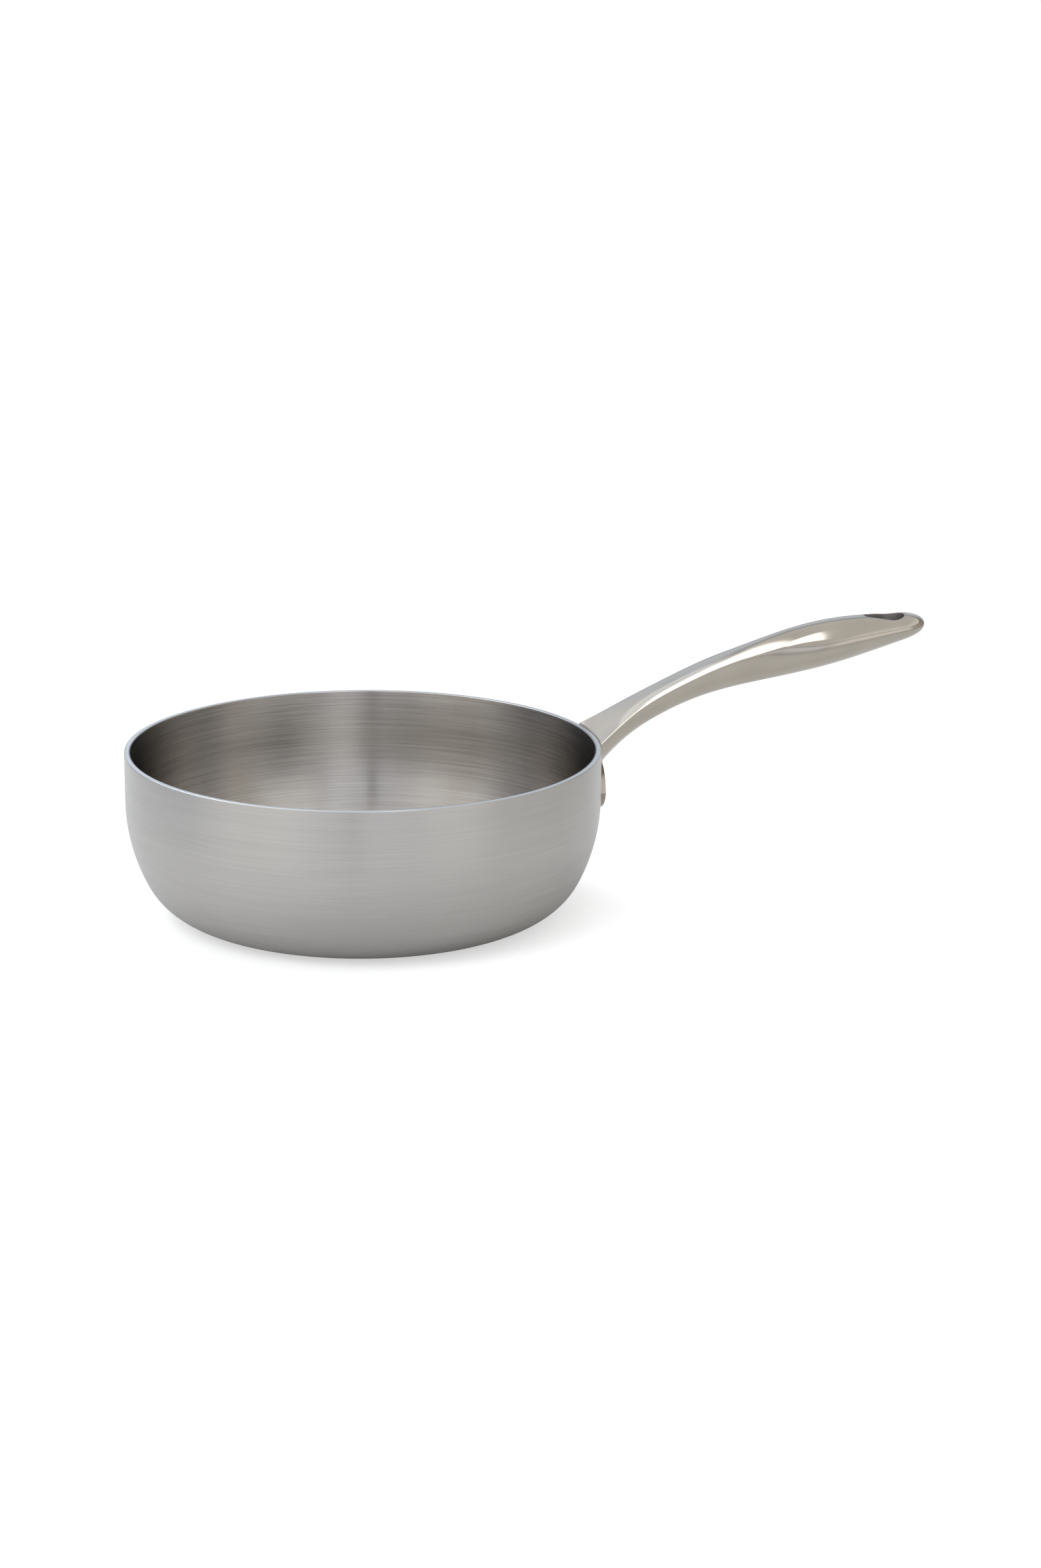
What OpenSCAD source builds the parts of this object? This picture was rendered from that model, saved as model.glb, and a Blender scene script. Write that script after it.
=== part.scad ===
// Saucier pan of three bonded metal layers, with a hollow stainless handle.
// The origin is the centre of the flat base, +X runs along the handle and +Z is up.

/* [Pan body] */
// Outside diameter at the rim
rim_d = 205; // [170:1:260]
// Height from the flat base to the rim
pan_h = 72; // [68:1:110]
// How far the side curves in between the rim and the flat base
side_run = 34.6; // [31:0.2:42]
// Radius of the long upper curve of the side
side_r = 76; // [65:1:110]
// Radius of the tight curve into the base
corner_r = 29.4; // [22:0.2:30]

/* [Layers] */
// Thickness of the stainless cooking layer
inner_ply_t = 0.6; // [0.3:0.1:0.8]
// Thickness of the aluminium core
core_t = 1.5; // [0.8:0.1:2.4]
// Thickness of the magnetic stainless outer layer
outer_ply_t = 0.5; // [0.3:0.1:0.8]

/* [Handle] */
// How far the handle reaches past the pan's wall
handle_reach = 149.5; // [120:0.5:200]
// Height of the grip's top above the rim
handle_rise = 48; // [36:1:64]
// Width across the shoulders where the stem meets the wall
root_w = 39; // [32:0.5:46]
// Width across the shoulders at the waist of the stem
waist_w = 19.5; // [16:0.5:26]
// Width across the shoulders at the grip
shoulder_w = 21.6; // [18:0.2:26]
// Width that the shoulders taper to past the tip
end_w = 17; // [15:0.5:22]
// Thickness of the stem at the wall
root_t = 14.1; // [12:0.1:17]
// Thickness of the stem at its thinnest
waist_t = 11.8; // [10:0.1:15]
// Thickness of the grip at its fullest
grip_t = 19.9; // [16:0.1:24]
// Thickness that the grip tapers to past the tip
end_t = 7.4; // [7:0.1:11]
// Height of the grip's crown above its shoulders
grip_crown = 3.5; // [2.5:0.1:4.5]
// Length of the rounded nose
nose_l = 11; // [9:0.5:14]
// Thickness of the handle's sheet metal
shell_t = 1.2; // [0.8:0.1:1.6]

/* [Hanging hole] */
// Distance from the handle's tip to the hole
hole_inset = 9; // [8:0.5:12]
// Length of the hole along the handle
hole_l = 18; // [16:0.5:24]
// Radius of the hole's wide end, towards the tip
hole_wide_r = 6.6; // [5.5:0.1:7]
// Radius of the hole's narrow end, towards the pan
hole_narrow_r = 3.6; // [2.5:0.1:4.5]
// Wall of the sleeve that lines the hole
sleeve_t = 1; // [0.6:0.1:1.4]

/* [Handle bracket] */
// Thickness of the curved plate that is welded to the wall
plate_t = 2.4; // [1.6:0.1:3]
// Width of the plate's eye, from point to point
plate_w = 40; // [34:0.5:46]
// Height of the plate's eye at its middle
plate_h = 21.6; // [18:0.2:26]
// Depth of the eye's centre below the rim
plate_drop = 21.2; // [19:0.2:24]
// Width of the neck that runs up from the eye into the stem
neck_w = 14; // [8:0.5:16]
// Width of the tang inside the stem
tang_w = 10; // [6:0.5:11]
// Thickness of the tang
tang_t = 4; // [2.5:0.5:4.5]
// Length of the tang
tang_l = 20; // [10:1:26]

/* [Hidden] */

over = 1;                // how far a cutter runs past what it cuts
weld_gap = 0.05;         // room left between the handle's sheet and what it is welded to

rim_r = rim_d / 2;

// Centres of the side's two curves. They touch where the line through both centres cuts them.
side_cx = rim_r - side_r;
corner_cx = rim_r - side_run;
centres_x = corner_cx - side_cx;
centres_z = sqrt(pow(side_r - corner_r, 2) - pow(centres_x, 2));
side_cz = corner_r + centres_z;
centres_a = atan2(-centres_z, centres_x);

// Places along the handle, as shares of its reach from the wall to the tip
waist_at = 0.27;
grip_at = 0.63;
thin_at = 0.18;
full_at = 0.69;
crease_from = 0.40;      // the stem's sharp shoulders start to soften here
crease_to = 0.74;        // and are gone here
narrow_from = 0.70;
slim_from = 0.61;
slim_to = 1.15;          // both tapers aim at a point past the tip
flare_power = 3;
// Heights that steer the handle's top line, as shares of its rise
top_line = [0.02, 0.59, 0.50, 1.21, 0.93, 1.01];
root_crown = 0.3;
waist_crown = 0.8;
end_crown = 3.2;
seam_a = 28;             // how far below the shoulders the two shells meet, in degrees

foot_at = 0.09;          // the stem's foot takes the wall's curve up to here

body_rings = 34;
ring_crowding = 1.25;    // above 1 crowds the rings towards the wall, where the stem flares
nose_rings = 8;
nose_power = 2.4;        // above 2 makes the nose blunter than an oval
nose_droop = 0.5;        // the tip lies this much below the end of the top line
nose_turn = 82;          // the last ring lies this many degrees round the nose
nose_hollow = 0.9;       // share of the nose, from its root, that the hollow reaches into
nose_core = 0.6;         // width of the inside points past the hollow, as a share of the outside
side_steps = 3;
crown_steps = 8;
belly_steps = 14;

tip_x = rim_r + handle_reach;
nose_x = tip_x - nose_l;

hole_wide_x = tip_x - hole_inset - hole_wide_r;
hole_narrow_x = tip_x - hole_inset - hole_l + hole_narrow_r;
cutter_top = pan_h + handle_rise * 1.5;
cutter_reach = rim_r + plate_t * 2;

plate_edge_r = (plate_w * plate_w + plate_h * plate_h) / (4 * plate_h);
neck_drop = 1.8;         // the neck stops this far below the rim, inside the hollow stem
tang_a = 37;
tang_drop = 4;

function ease(t) = let (s = min(1, max(0, t))) s * s * s * (6 * s * s - 15 * s + 10);
function mix(a, b, k) = a + (b - a) * k;

// A smooth line steered by the six heights in c
function curve(c, t) =
    let (s = 1 - t)
    c[0] * pow(s, 5) + 5 * c[1] * t * pow(s, 4) + 10 * c[2] * t * t * pow(s, 3)
    + 10 * c[3] * pow(t, 3) * s * s + 5 * c[4] * pow(t, 4) * s + c[5] * pow(t, 5);

// Half width across the shoulders, top height, crown, thickness and roundness at a share f
function station(f) =
    let (flare = pow(max(0, 1 - f / waist_at), flare_power),
         foot = pow(max(0, 1 - f / thin_at), 2),
         swell = ease((f - waist_at) / (grip_at - waist_at)),
         fill = ease((f - thin_at) / (full_at - thin_at)),
         narrow = ease((f - narrow_from) / (slim_to - narrow_from)),
         slim = ease((f - slim_from) / (slim_to - slim_from)),
         droop = nose_droop * pow(max(0, 1 - (1 - f) * handle_reach / nose_l), 2))
    [(waist_w + (root_w - waist_w) * flare + (shoulder_w - waist_w) * swell
        + (end_w - shoulder_w) * narrow) / 2,
     pan_h + handle_rise * curve(top_line, f) - droop,
     waist_crown + (root_crown - waist_crown) * flare + (grip_crown - waist_crown) * swell
        + (end_crown - grip_crown) * slim,
     waist_t + (root_t - waist_t) * foot + (grip_t - waist_t) * fill + (end_t - grip_t) * slim,
     ease((f - crease_from) / (crease_to - crease_from))];

// A point of the handle's cross-section, as [sideways, up]. From 0 to 90 degrees, a turn below
// zero goes down the side from the shoulder, and one above zero goes up over the crown.
// The stem is a shallow arch on a half oval, and the grip is one oval through the same shoulders.
function section_point(s, turn, inset, shrink) =
    let (w = s[0], crown = s[2], belly = s[3] - s[2],
         shoulder_z = s[1] - crown,
         oval_b = (crown + belly) / 2,
         oval_z = shoulder_z + (crown - belly) / 2,
         lift = asin((belly - crown) / (belly + crown)),
         oval_a = w / cos(lift),
         oval_turn = turn < 0 ? lift + (lift + 90) * turn / 90 : lift + (90 - lift) * turn / 90,
         stem = turn < 0
            ? [(w - inset) * cos(turn), shoulder_z - inset + (belly - 2 * inset) * sin(turn)]
            : [(w - inset) * cos(turn), shoulder_z - inset + crown * pow(sin(turn), 2)],
         grip = [(oval_a - inset) * cos(oval_turn), oval_z + (oval_b - inset) * sin(oval_turn)],
         p = mix(stem, grip, s[4]))
    [p[0] * shrink, oval_z + (p[1] - oval_z) * shrink];

function wall_x(y) = sqrt(pow(rim_r + weld_gap, 2) - y * y);

// The same point in the handle's own place. Near the wall it shifts to take the wall's curve.
function placed(f, x, p) =
    let (foot = pow(max(0, 1 - f / foot_at), 2))
    [x + (wall_x(p[0]) - rim_r) * foot, p[0], p[1]];

// Turns across each shell from one seam to the other
top_turns = concat(
    [for (i = [0:side_steps - 1]) -seam_a * (1 - i / side_steps)],
    [for (i = [0:crown_steps]) 180 * i / crown_steps],
    [for (i = [1:side_steps]) 180 + seam_a * i / side_steps]);
bottom_turns = [for (i = [0:belly_steps]) -seam_a - (180 - 2 * seam_a) * i / belly_steps];

// The right half of a section holds turns up to 90, and the left half mirrors it
function across(s, turn, inset, shrink) =
    let (left = turn > 90 || turn < -90,
         own = turn > 90 ? 180 - turn : turn < -90 ? -180 - turn : turn,
         p = section_point(s, own, inset, shrink))
    [left ? -p[0] : p[0], p[1]];

ring_x = concat(
    [for (i = [0:body_rings]) mix(rim_r, nose_x, pow(i / body_rings, ring_crowding))],
    [for (i = [1:nose_rings]) nose_x + nose_l * sin(nose_turn * i / nose_rings)]);

function share(x) = (x - rim_r) / handle_reach;
function nose_shrink(x, l) =
    x <= nose_x ? 1 : pow(max(0, 1 - pow((x - nose_x) / l, nose_power)), 1 / nose_power);

// One ring of a shell: its outside, then back along its inside. Past the hollow's end the
// inside points lie across the seam, so the nose is solid.
hollow_end = nose_x + (nose_l - shell_t) * nose_hollow;
function ring(x, turns) =
    let (f = share(x), s = station(f), n = len(turns) - 1,
         outer = [for (t = turns) across(s, t, 0, nose_shrink(x, nose_l))],
         hollow = x < hollow_end,
         inner = [for (i = [0:n]) hollow
            ? across(s, turns[i], shell_t, nose_shrink(x, nose_l - shell_t))
            : [outer[0][0] * nose_core * (1 - 2 * i / n), outer[0][1]]])
    concat([for (p = outer) placed(f, x, p)], [for (i = [n:-1:0]) placed(f, x, inner[i])]);

// A shell is a sheet that follows the rings, closed at its foot and drawn to a point at the tip
module shell(turns) {
    // The rings of the two shells run opposite ways round, so one has its faces turned
    turned = turns[1] > turns[0];
    n = len(turns);
    per = 2 * n;
    last = len(ring_x) - 1;
    rings = [for (x = ring_x) ring(x, turns)];
    apex = [tip_x, 0, section_point(station(1), 0, 0, 0)[1]];
    points = concat([for (r = rings) for (p = r) p], [apex]);
    sheet = [for (k = [0:last - 1]) for (i = [0:per - 1])
        let (a = k * per + i, b = k * per + (i + 1) % per)
        each [[a, b, b + per], [a, b + per, a + per]]];
    foot = [for (i = [0:n - 2]) each [[i, per - 1 - i, i + 1], [i + 1, per - 1 - i, per - 2 - i]]];
    tip = [for (i = [0:per - 1]) [last * per + i, last * per + (i + 1) % per, last * per + per]];
    faces = concat(sheet, foot, tip);
    polyhedron(points, turned ? [for (f = faces) [f[2], f[1], f[0]]] : faces, convexity = 6);
}

// The handle's outer form as one solid, from the ring nearest to x = from out to the tip
module outer_form(from) {
    turns = concat(top_turns, [for (i = [belly_steps - 1:-1:1]) bottom_turns[i]]);
    per = len(turns);
    xs = [for (x = ring_x) if (x > from) x];
    last = len(xs) - 1;
    points = concat(
        [for (x = xs) for (t = turns) placed(share(x), x,
            across(station(share(x)), t, 0, nose_shrink(x, nose_l)))],
        [[tip_x, 0, section_point(station(1), 0, 0, 0)[1]],
         [xs[0], 0, section_point(station(share(xs[0])), 0, 0, 0)[1]]]);
    sheet = [for (k = [0:last - 1]) for (i = [0:per - 1])
        let (a = k * per + i, b = k * per + (i + 1) % per)
        each [[a, b + per, b], [a, a + per, b + per]]];
    ends = [for (i = [0:per - 1]) each [
        [last * per + i, (last + 1) * per, last * per + (i + 1) % per],
        [(i + 1) % per, (last + 1) * per + 1, i]]];
    polyhedron(points, concat(sheet, ends), convexity = 6);
}

// Outline of the hanging hole, grown by d: two round ends and the straight sides between them
module hole_outline(d) {
    wide = hole_wide_r + d;
    narrow = hole_narrow_r + d;
    span = hole_wide_x - hole_narrow_x;
    lean = asin((wide - narrow) / span);
    translate([hole_wide_x, 0]) circle(r = wide, $fn = 64);
    translate([hole_narrow_x, 0]) circle(r = narrow, $fn = 48);
    polygon([
        [hole_wide_x - wide * sin(lean), wide * cos(lean)],
        [hole_narrow_x - narrow * sin(lean), narrow * cos(lean)],
        [hole_narrow_x - narrow * sin(lean), -narrow * cos(lean)],
        [hole_wide_x - wide * sin(lean), -wide * cos(lean)]]);
}

module hole_cutter(d) {
    translate([0, 0, pan_h]) linear_extrude(cutter_top - pan_h) hole_outline(d);
}

// Everything inside the pan's outer surface, moved in by d and cut off at top, as [radius, height].
// Its four parts overlap inside, and meet on the outside where one curve runs into the next.
module side_region(d, top) {
    reach = 2 * side_r;
    translate([0, d]) square([corner_cx, top - d]);
    translate([0, side_cz]) square([rim_r - d, top - side_cz]);
    translate([corner_cx, corner_r]) circle(r = corner_r - d, $fn = 120);
    intersection() {
        translate([side_cx, side_cz]) circle(r = side_r - d, $fn = 240);
        polygon([
            [corner_cx, corner_r],
            [corner_cx + reach * cos(centres_a), corner_r + reach * sin(centres_a)],
            [corner_cx + reach, side_cz + over],
            [corner_cx - over, side_cz + over],
            [corner_cx - over, corner_r]]);
    }
}

// One layer of the pan, from a depth of d below its outer surface and t thick
module layer(d, t) {
    rotate_extrude($fn = 180) difference() {
        side_region(d, pan_h);
        side_region(d + t, pan_h + over);
    }
}

// Stainless cooking layer
module inner_ply() {
    color("#a9a6a1") layer(outer_ply_t + core_t, inner_ply_t);
}

// Aluminium core that spreads the heat
module core_ply() {
    color("#d3d4d6") layer(outer_ply_t, core_t);
}

// Magnetic stainless outer layer
module outer_ply() {
    color("#b4b4b2") layer(0, outer_ply_t);
}

// Outline of the bracket's plate grown by d, as [sideways, up]: an eye, and a neck up from it
module plate_outline(d) {
    eye_z = pan_h - plate_drop;
    offset_z = plate_edge_r - plate_h / 2;
    translate([0, eye_z]) intersection() {
        translate([0, -offset_z]) circle(r = plate_edge_r + d, $fn = 120);
        translate([0, offset_z]) circle(r = plate_edge_r + d, $fn = 120);
    }
    translate([-neck_w / 2 - d, eye_z]) square([neck_w + 2 * d, plate_drop - neck_drop + d]);
}

// Plate that is welded to the wall, with a tang that carries the hollow stem
module handle_bracket() {
    color("#a8a59c") {
        intersection() {
            rotate([90, 0, 90]) linear_extrude(cutter_reach) plate_outline(0);
            layer(-plate_t, plate_t);
        }
        difference() {
            translate([rim_r, 0, pan_h - tang_drop])
                rotate([0, -tang_a, 0]) translate([0, -tang_w / 2, -tang_t / 2])
                cube([tang_l, tang_w, tang_t]);
            translate([0, 0, -over]) cylinder(h = pan_h + 2 * over, r = rim_r + over, $fn = 180);
        }
    }
}

// Slot in the stem's foot, where the bracket's plate passes through
module plate_slot() {
    intersection() {
        rotate([90, 0, 90]) linear_extrude(cutter_reach) plate_outline(weld_gap);
        cylinder(h = pan_h, r = rim_r + plate_t + weld_gap, $fn = 180);
    }
}

// Upper half of the hollow handle
module handle_top_shell() {
    color("#b9b6ae") difference() {
        shell(top_turns);
        hole_cutter(sleeve_t + weld_gap);
    }
}

// Lower half of the hollow handle
module handle_bottom_shell() {
    color("#b1aea5") difference() {
        shell(bottom_turns);
        hole_cutter(sleeve_t + weld_gap);
        plate_slot();
    }
}

// Sleeve that lines the hanging hole and joins the two shells there
module hanging_hole_sleeve() {
    color("#8d8b87") intersection() {
        difference() {
            hole_cutter(sleeve_t);
            hole_cutter(0);
        }
        outer_form(hole_narrow_x - 4 * hole_narrow_r);
    }
}

inner_ply();
core_ply();
outer_ply();
handle_bracket();
handle_top_shell();
handle_bottom_shell();
hanging_hole_sleeve();
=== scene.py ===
"""Saucier pan of three bonded metal layers with a hollow stainless handle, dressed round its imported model.

Every length is in metres, in the model's own frame: the origin is the centre of the flat base,
+X runs along the handle and +Z is up.
"""

import math

import bmesh
import bpy
from bpy.props import FloatProperty, FloatVectorProperty, IntProperty, PointerProperty
from bpy.types import Operator, Panel, PropertyGroup
from mathutils import Matrix, Vector


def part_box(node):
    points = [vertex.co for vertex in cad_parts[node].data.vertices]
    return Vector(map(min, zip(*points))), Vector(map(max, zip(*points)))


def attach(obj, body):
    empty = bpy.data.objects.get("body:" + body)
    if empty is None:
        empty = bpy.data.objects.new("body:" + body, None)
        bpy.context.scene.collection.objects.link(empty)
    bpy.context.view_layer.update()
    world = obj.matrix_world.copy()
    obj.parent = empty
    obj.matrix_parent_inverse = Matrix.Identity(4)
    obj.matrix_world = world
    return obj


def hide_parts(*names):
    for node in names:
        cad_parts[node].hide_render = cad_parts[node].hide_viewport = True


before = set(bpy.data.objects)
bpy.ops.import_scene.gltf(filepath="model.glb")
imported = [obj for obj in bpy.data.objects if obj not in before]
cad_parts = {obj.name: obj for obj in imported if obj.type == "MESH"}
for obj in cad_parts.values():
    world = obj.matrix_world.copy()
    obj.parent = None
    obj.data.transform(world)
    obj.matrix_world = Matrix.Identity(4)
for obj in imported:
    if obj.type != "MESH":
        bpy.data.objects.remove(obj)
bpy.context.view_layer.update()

bl_info = {
    "name": "Saucier pan",
    "version": (1, 0, 0),
    "blender": (4, 5, 0),
    "location": "3D View > Sidebar > Saucier",
    "description": "Makes a three-layer saucier pan with a hollow steel handle",
    "category": "Add Mesh",
}

MM = 0.001

# The photograph's frame, and where the middle of the pan's mouth is seen in it, in pixels
IMAGE_W = 1568
IMAGE_H = 2362
MOUTH_PIXEL = (547.20, 1125.40)
SENSOR = 36

OUTER_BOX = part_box("outer_ply")
HANDLE_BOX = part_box("handle_top_shell")
RIM_R = OUTER_BOX[1].x
PAN_H = OUTER_BOX[1].z
HANDLE_REACH = HANDLE_BOX[1].x - RIM_R

# Tones of the studio's walls, from behind the pan by the left, the camera and the right round again
WALL_TONES = (
    (0.0, "#c3cad4"),
    (0.03, "#c3cad4"),
    (0.06, "#d8dce2"),
    (0.085, "#d8dce2"),
    (0.11, "#676f82"),
    (0.19, "#747c8c"),
    (0.26, "#9299a5"),
    (0.33, "#f4f4f4"),
    (0.374, "#f6f4f2"),
    (0.38, "#ffffff"),
    (0.41, "#ffffff"),
    (0.44, "#e8e9ef"),
    (0.484, "#d4d6de"),
    (0.49, "#98989e"),
    (0.497, "#98989e"),
    (0.504, "#dcdee6"),
    (0.558, "#dadce4"),
    (0.566, "#cdcdd1"),
    (0.6, "#ebebeb"),
    (0.65, "#ebebeb"),
    (0.69, "#bcb9b5"),
    (0.78, "#aeaba6"),
    (0.88, "#908e8a"),
    (0.95, "#c3cad4"),
    (1.0, "#c3cad4"),
)
# How the walls are lit from the floor up to the ceiling
LIT_TONES = (
    (0.0, "#d8d8d8"),
    (0.2, "#e6e6e6"),
    (0.33, "#ffffff"),
    (0.62, "#ffffff"),
    (0.78, "#dadada"),
    (0.94, "#dadada"),
    (0.97, "#ffffff"),
    (1.0, "#ffffff"),
)
# Tones of the ceiling, from 3 m left of the pan to 3 m right of it
CEILING_TONES = (
    (0.0, "#b0b1b2"),
    (0.2, "#b4b5b6"),
    (0.34, "#c9caca"),
    (0.7, "#c9caca"),
    (0.78, "#e0e0de"),
    (1.0, "#e0e0de"),
)
# How bright a white wall is, with 1 for the white of the background
WALL_LEVEL = 1.3
# The studio's round wall, and the height that its overhead lights hang at, in metres
WALL_R = 3
WALL_H = 2.2
LAMP_H = 1.3
COOL_WHITE = (0.9, 0.95, 1)
# How much the floor glows to the eye alone, and how brightly the white all round lights the floor
FLOOR_GLOW = 0.55
SKY_LEVEL = 0.7
# The values between which nearly all of a noise lies
NOISE_SPAN = {"From Min": 0.3, "From Max": 0.7}

# Places along the handle, as shares of its reach from the wall to the tip
WAIST_AT = 0.27
GRIP_AT = 0.63
THIN_AT = 0.18
FULL_AT = 0.69
CREASE_FROM = 0.40
CREASE_TO = 0.74
NARROW_FROM = 0.70
SLIM_FROM = 0.61
SLIM_TO = 1.15
FOOT_AT = 0.09
# Heights that steer the handle's top line, as shares of its rise
TOP_LINE = (0.02, 0.59, 0.50, 1.21, 0.93, 1.01)
# How suddenly the foot flares, how blunt the nose is, and how the rings crowd towards the wall
FLARE_POWER = 3
NOSE_POWER = 2.4
CROWD_POWER = 1.1

# Turns round the handle's section, in degrees from the right shoulder over the crown
SEAM_TURN = 28
FILLET_BELOW = 3
FILLET_ABOVE = 18

# Faces along the handle's body and round its nose
BODY_RINGS = 150
NOSE_RINGS = 26
# Faces round the handle: on each side under the seam, from it to the crease and round the crease,
# and then over the crown
UNDER_STEPS = 16
SEAM_STEPS = 8
CREASE_STEPS = 8
CROWN_STEPS = 36
# Faces along the curves of the pan's side, of the hanging hole and of the plate's eye
CORNER_STEPS = 18
SIDE_STEPS = 22
WIDE_STEPS = 72
NARROW_STEPS = 48
FLANK_STEPS = 10
BROW_STEPS = 20
EYE_STEPS = 48
PLATE_ROWS = 24
PLATE_COLUMNS = 32
# Faces round the floor and the studio's walls
STAGE_STEPS = 96

# Points that are closer than this are one point
MERGE = 0.001 * MM
# How much wider than the plate the slot in the stem is cut
SLOT_GAP = 0.05 * MM
# Faces that meet at less than the first angle are shaded smooth, and the plate's edges that are
# sharper than the second are rounded
SMOOTH_ANGLE = math.radians(35)
CORNER_ANGLE = math.radians(50)


def length(name, description, value):
    """A size that a user may change, given here in millimetres."""
    return FloatProperty(
        name=name, description=description, default=value * MM, min=0, precision=5, unit="LENGTH"
    )


def angle(name, description, degrees):
    """An angle that a user may change, given here in degrees."""
    return FloatProperty(
        name=name, description=description, default=math.radians(degrees), subtype="ANGLE"
    )


def linear(colour):
    """A colour written as an sRGB hex value, in the linear numbers that shaders take."""
    shares = [int(colour[i : i + 2], 16) / 255 for i in (1, 3, 5)]
    return [c / 12.92 if c <= 0.04045 else ((c + 0.055) / 1.055) ** 2.4 for c in shares]


def finish_colour(name, description, colour):
    """A colour that a user may change, given here as an sRGB hex value."""
    return FloatVectorProperty(
        name=name, description=description, default=linear(colour), size=3, min=0, max=1, subtype="COLOR"
    )


class PanSizes(PropertyGroup):
    """Sizes of the pan's body, its handle, its hanging hole and its bracket."""

    side_run: length("Side run", "How far the side curves in between the rim and the base", 34.6)
    side_r: length("Side radius", "Radius of the long upper curve of the side", 76)
    corner_r: length("Corner radius", "Radius of the tight curve into the base", 29.4)
    inner_t: length("Cooking layer", "Thickness of the stainless cooking layer", 0.6)
    core_t: length("Core", "Thickness of the aluminium core", 1.5)
    outer_t: length("Outer layer", "Thickness of the magnetic outer layer", 0.5)
    rim_round: length("Rim round", "Radius that takes the edge off the rim", 0.3)
    turns: IntProperty(name="Turns", description="Faces round the pan", default=240, min=32)

    handle_rise: length("Rise", "Height of the grip's top above the rim", 48)
    root_w: length("Root width", "Width across the shoulders at the wall", 39)
    waist_w: length("Waist width", "Width across the shoulders at the waist", 19.5)
    shoulder_w: length("Grip width", "Width across the shoulders at the grip", 21.6)
    end_w: length("End width", "Width that the shoulders taper to past the tip", 17)
    root_t: length("Root thickness", "Thickness of the stem at the wall", 14.1)
    waist_t: length("Waist thickness", "Thickness of the stem at its thinnest", 11.8)
    grip_t: length("Grip thickness", "Thickness of the grip at its fullest", 19.9)
    end_t: length("End thickness", "Thickness that the grip tapers to past the tip", 7.4)
    root_crown: length("Root crown", "Height of the crown at the wall", 0.3)
    waist_crown: length("Waist crown", "Height of the crown at the waist", 0.8)
    grip_crown: length("Grip crown", "Height of the grip's crown above its shoulders", 3.5)
    end_crown: length("End crown", "Height that the crown tapers to past the tip", 3.2)
    nose_l: length("Nose", "Length of the rounded nose", 11)
    nose_droop: length("Nose droop", "How far the tip lies below the end of the top line", 0.5)
    shell_t: length("Sheet", "Thickness of the handle's sheet metal", 1.2)

    hole_inset: length("Hole inset", "Distance from the tip to the hanging hole", 9)
    hole_l: length("Hole length", "Length of the hole along the handle", 18)
    hole_wide_r: length("Wide end", "Radius of the hole's end towards the tip", 6.6)
    hole_narrow_r: length("Narrow end", "Radius of the hole's end towards the pan", 3.6)
    sleeve_t: length("Sleeve", "Wall of the sleeve that lines the hole", 1)
    sleeve_round: length("Sleeve round", "Radius of the sleeve's rounded edge", 0.45)

    plate_t: length("Plate", "Thickness of the plate on the wall", 2.4)
    plate_w: length("Plate width", "Width of the plate's eye from point to point", 40)
    plate_h: length("Plate height", "Height of the plate's eye at its middle", 21.6)
    plate_drop: length("Plate drop", "Depth of the eye's centre below the rim", 21.2)
    neck_w: length("Neck width", "Width of the neck that runs up into the stem", 14)
    neck_drop: length("Neck drop", "How far below the rim the neck stops", 1.8)
    plate_round: length("Plate round", "Radius of the plate's outer edge", 0.5)
    tang_w: length("Tang width", "Width of the tang inside the stem", 10)
    tang_t: length("Tang thickness", "Thickness of the tang", 4)
    tang_l: length("Tang length", "Length of the tang", 20)
    tang_drop: length("Tang drop", "How far below the rim the tang starts", 4)
    tang_tilt: angle("Tang tilt", "How steeply the tang rises", 37)
    tang_round: length("Tang round", "Radius of the tang's edges", 0.4)


class PanFinish(PropertyGroup):
    """Colours of the metals."""

    cooking: finish_colour("Cooking surface", "Brushed stainless steel inside", "#c3bfba")
    core: finish_colour("Core", "Aluminium that shows at the rim", "#c6c9cd")
    outside: finish_colour("Outside", "Brushed stainless steel outside", "#cbc8c4")
    handle: finish_colour("Handle", "Satin stainless steel", "#beb6aa")
    sleeve: finish_colour("Sleeve", "Steel inside the hanging hole", "#b2adaa")


class StudioSet(PropertyGroup):
    """Camera, floor and lights."""

    lens: FloatProperty(
        name="Lens", description="Focal length in millimetres", default=85, min=10, unit="CAMERA"
    )
    distance: length("Distance", "From the lens to the middle of the pan's mouth", 1595)
    tilt: angle("Tilt", "How far the camera looks down", 15.41)
    roll: angle("Roll", "How far the camera leans", 0.3156)
    handle_turn: angle("Handle turn", "How far the handle points away from the camera", 13.3)
    floor_r: length("Floor", "Radius of the round floor", 6000)
    floor: finish_colour("Floor colour", "Matt white floor", "#d9d9d9")
    key: FloatProperty(
        name="Key", description="Power of the main overhead light", default=16, min=0, unit="POWER"
    )
    fill: FloatProperty(
        name="Fill", description="Power of the light from the left", default=14, min=0, unit="POWER"
    )


def sizes():
    """The pan's sizes as they are set in the scene."""
    return bpy.context.scene.pan_sizes


def mix(a, b, share):
    """The value at that share of the way from a to b."""
    return a + (b - a) * share


def ease(t):
    """A gentle rise from 0 to 1 as t goes from 0 to 1."""
    t = min(1.0, max(0.0, t))
    return t * t * t * (6 * t * t - 15 * t + 10)


def steps(first, last, count):
    """Evenly spaced values from first to last, the last one left out."""
    return [mix(first, last, i / count) for i in range(count)]


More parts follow.
